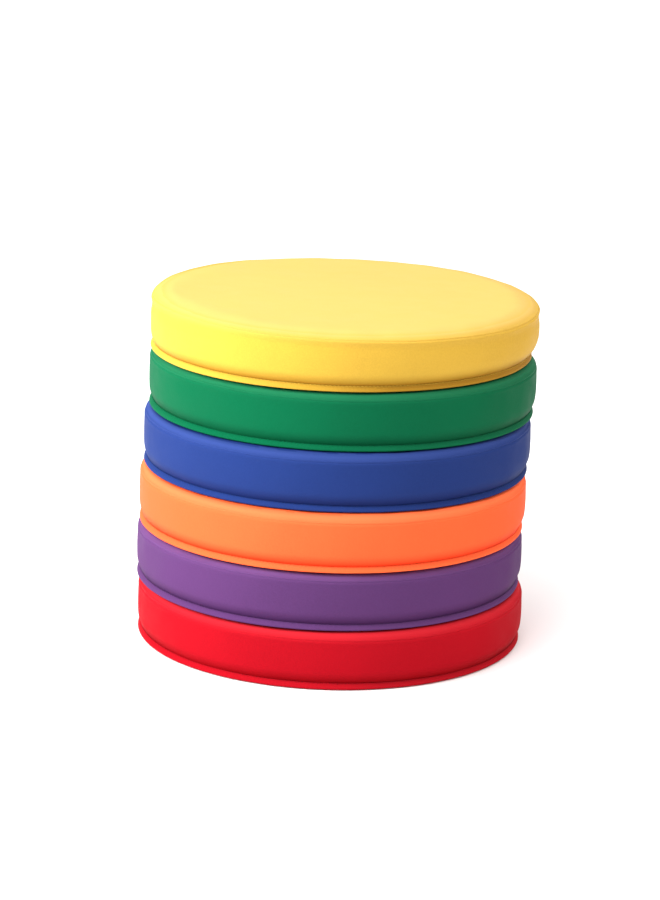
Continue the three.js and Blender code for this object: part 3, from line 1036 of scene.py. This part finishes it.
def vinyl(colour):
    """Soft coated cloth: pebbled grain, faint mottling, painted shade in the crease above the lip and painted
    highlights on the rim and top.
    """
    n = Nodes(f"{colour}_vinyl")
    dye = DYES[colour]
    mottled = n.mixed(n.spread(n.noise(9, 3), 0, 1), scaled(dye, 0.93), scaled(dye, 1.06))
    flecked = n.mixed(n.spread(n.noise(700, 1), 0, 0.5), mottled, scaled(dye, 1.12))
    # The attribute holds painted light: above 0 painted shade, below 0 painted highlight.
    seam = n.attribute("seam")
    # The colour of the painted shade: the dye darkened.
    painted_shade = tuple(0.8 * c ** CREASE_SHADE_POWER[colour] for c in dye)
    shaded = n.mixed(n.spread(seam, 0, 0.9, 0, 1), flecked, painted_shade)
    # The colour of the painted highlight: the dye paler, or pale lemon on the top cushion.
    painted_highlight = YELLOW_HIGHLIGHT if colour == TOP_CUSHION else scaled(dye, HIGHLIGHT_GAIN, HIGHLIGHT_LIFT)
    coloured = n.mixed(n.spread(seam, 0, 1, 0, -1), shaded, painted_highlight)
    grain = n.bump(n.cells(620), 0.00012, 0.5)
    creases = n.bump(n.noise(60, 3), 0.0004, 0.25, grain)
    sag = n.bump(n.noise(9, 2), 0.005, 0.22, creases)
    roughness = n.spread(n.noise(35, 3), 0.54, 0.66)
    return n.finish(coloured, roughness, sag, Specular_IOR_Level=GLOSS[colour])


def thread(colour):
    n = Nodes(f"{colour}_thread")
    dye = DYES[colour]
    coloured = n.mixed(n.spread(n.noise(900, 2), 0, 1), scaled(dye, 0.85), scaled(dye, 1.05))
    strands = n.bump(n.noise(2600, 1), 0.00008, 0.6)
    return n.finish(coloured, n.spread(n.noise(400), 0.6, 0.8), strands, Specular_IOR_Level=0.1)


def tape_cloth(colour):
    """Woven polyester tape."""
    n = Nodes(f"{colour}_tape")
    dye = scaled(DYES[colour], 0.8, 0.01)
    weave = n.cells(1500, 0.2)
    coloured = n.mixed(n.spread(weave, 0, 1, 0.0, 0.6), scaled(dye, 1.15, 0.01), scaled(dye, 0.7))
    shaded = n.mixed(n.spread(n.noise(40, 3), 0, 0.4), coloured, scaled(dye, 0.8))
    return n.finish(shaded, n.spread(n.noise(300), 0.7, 0.85), n.bump(weave, 0.0003, 0.7), Sheen_Weight=0.3)


def coil_plastic(colour):
    n = Nodes(f"{colour}_coil")
    dye = scaled(DYES[colour], 0.85, 0.02)
    coloured = n.mixed(n.spread(n.noise(120, 2), 0, 1), scaled(dye, 0.9), scaled(dye, 1.1, 0.01))
    return n.finish(coloured, n.spread(n.noise(200), 0.3, 0.42), n.bump(n.noise(900), 0.00005, 0.4))


def foam():
    """Cream open-cell foam."""
    n = Nodes("foam")
    cells = n.cells(520, 0.1)
    coloured = n.mixed(n.spread(cells, 0, 1, 0.1, 0.7), (0.62, 0.52, 0.34), (0.86, 0.79, 0.62))
    aged = n.mixed(n.spread(n.noise(7, 3), 0, 0.5), coloured, (0.78, 0.66, 0.42))
    return n.finish(aged, n.spread(n.noise(90), 0.85, 0.98), n.bump(cells, 0.0006, 0.9))


def zip_metal():
    """Nickel plate with fine scratches, and duller where it is rubbed."""
    n = Nodes("zip_metal")
    worn = n.noise(130, 4, 0.6)
    coloured = n.mixed(n.spread(worn, 0, 1), (0.27, 0.275, 0.29), (0.40, 0.40, 0.41))
    scratches = n.bump(n.noise(1400, 2), 0.00003, 0.5)
    return n.finish(coloured, n.spread(worn, 0.22, 0.4), scratches, Metallic=1.0)


def floor_paint():
    n = Nodes("floor")
    coloured = n.mixed(n.spread(n.noise(3, 3), 0, 1), (0.90, 0.90, 0.90), (0.93, 0.93, 0.93))
    return n.finish(coloured, n.spread(n.noise(5), 0.75, 0.85), n.bump(n.noise(20), 0.0002, 0.1))


# ---- the cushions ----


def dressed(piece, material, body, slot, *nodes):
    piece.data.materials.clear()
    piece.data.materials.append(material)
    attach(piece, body)
    if nodes:
        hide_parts(*nodes)
    return piece


PANELS = [
    (top_cover, "top_panel"),
    (front_band, "side_band"),
    (rear_band_upper, "upper_zip_band"),
    (rear_band_lower, "lower_zip_band"),
    (bottom_cover, "bottom_panel"),
]


def build_cushion(colour, index, foam_material, metal):
    """All the pieces of one cushion, each on its own body."""
    place = Place(colour)
    shape = FREE_TOP if colour == TOP_CUSHION else PRESSED_TOP
    dice = random.Random(1000 + index)
    shell = keep_clear(blown_shell(colour, shape, dice), colour)
    body, slot = f"{colour}_cushion", f"{colour}_vinyl"
    tape_slot = f"{colour}_zip_tape"
    cover, sewn, cloth = vinyl(colour), thread(colour), tape_cloth(colour)
    panels = [
        dressed(make(colour, shape, shell, place), cover, body, slot, f"{colour}_{node}")
        for make, node in PANELS
    ]
    dressed(lip(colour, shape, place, dice), cover, body, slot, f"{colour}_edge_binding")
    filling = dressed(foam_disc(colour, shell, place), foam_material, body, "foam", f"{colour}_foam_core")
    dressed(lip_stitches(colour, shape, place), sewn, body, tape_slot)
    dressed(zip_stitches(colour, shell, place), sewn, body, tape_slot)
    dressed(zip_tape(colour, place), cloth, body, tape_slot, f"{colour}_zip_tape")
    dressed(zip_coil(colour, place), coil_plastic(colour), body, tape_slot)
    dressed(slider_body(colour, place), metal, f"{colour}_slider", "zip_metal", f"{colour}_zip_slider")
    dressed(pull_tab(colour, place), metal, f"{colour}_pull", "zip_metal", f"{colour}_zip_pull")


# ---- the studio ----


def build_floor():
    middle = (0, 0, -FLOOR_DROP)
    bpy.ops.mesh.primitive_circle_add(vertices=96, radius=FLOOR_RADIUS, fill_type="NGON", location=middle)
    ground = bpy.context.object
    ground.name = "floor"
    ground.data.materials.append(floor_paint())


def area_light(name, azimuth, elevation, distance, size, watts, tint):
    """A square soft light that faces the middle of the stack, and leaves no hot spot on it."""
    data = bpy.data.lights.new(name, "AREA")
    data.shape = "SQUARE"
    data.size = size
    data.energy = watts
    data.color = tint
    light = bpy.data.objects.new(name, data)
    a, e = math.radians(azimuth), math.radians(elevation)
    away = Vector((math.sin(a) * math.cos(e), -math.cos(a) * math.cos(e), math.sin(e)))
    light.location = Vector(LIGHT_TARGET) + away * distance
    light.rotation_mode = "QUATERNION"
    light.rotation_quaternion = away.to_track_quat("Z", "Y")
    light.visible_glossy = False
    bpy.context.scene.collection.objects.link(light)


def build_sky():
    """A plain white sky, brighter overhead than at the horizon."""
    world = bpy.data.worlds.new("studio")
    world.use_nodes = True
    tree = world.node_tree
    background = tree.nodes["Background"]
    direction = tree.nodes.new("ShaderNodeTexCoord")
    parts = tree.nodes.new("ShaderNodeSeparateXYZ")
    strength = tree.nodes.new("ShaderNodeMapRange")
    for socket, value in (("From Max", SKY_TOP), ("To Min", SKY_LOW), ("To Max", SKY_HIGH)):
        strength.inputs[socket].default_value = value
    tree.links.new(direction.outputs["Generated"], parts.inputs["Vector"])
    tree.links.new(parts.outputs["Z"], strength.inputs["Value"])
    tree.links.new(strength.outputs["Result"], background.inputs["Strength"])
    background.inputs["Color"].default_value = (1, 1, 1, 1)
    bpy.context.scene.world = world


def build_lights():
    build_sky()
    for name, values in LIGHTS.items():
        area_light(name, *values)


def build_camera():
    """In front and a little above, with a slight roll."""
    data = bpy.data.cameras.new("camera")
    data.lens = CAMERA_LENS
    data.sensor_width = SENSOR_WIDTH
    data.clip_end = 60
    camera = bpy.data.objects.new("camera", data)
    elevation = math.radians(CAMERA_ELEVATION)
    forward = Vector((0, math.cos(elevation), -math.sin(elevation)))
    camera.location = Vector(CAMERA_TARGET) - forward * CAMERA_DISTANCE
    tilt = Matrix.Rotation(math.pi / 2 - elevation, 3, "X")
    roll = Matrix.Rotation(math.radians(CAMERA_ROLL), 3, "Z")
    camera.rotation_mode = "QUATERNION"
    camera.rotation_quaternion = (tilt @ roll).to_quaternion()
    bpy.context.scene.collection.objects.link(camera)
    bpy.context.scene.camera = camera


build_camera()
build_floor()
build_lights()
bpy.context.scene.view_settings.view_transform = "Standard"
shared_foam = foam()
shared_metal = zip_metal()
for number, dyed in enumerate(COLOURS):
    build_cushion(dyed, number, shared_foam, shared_metal)
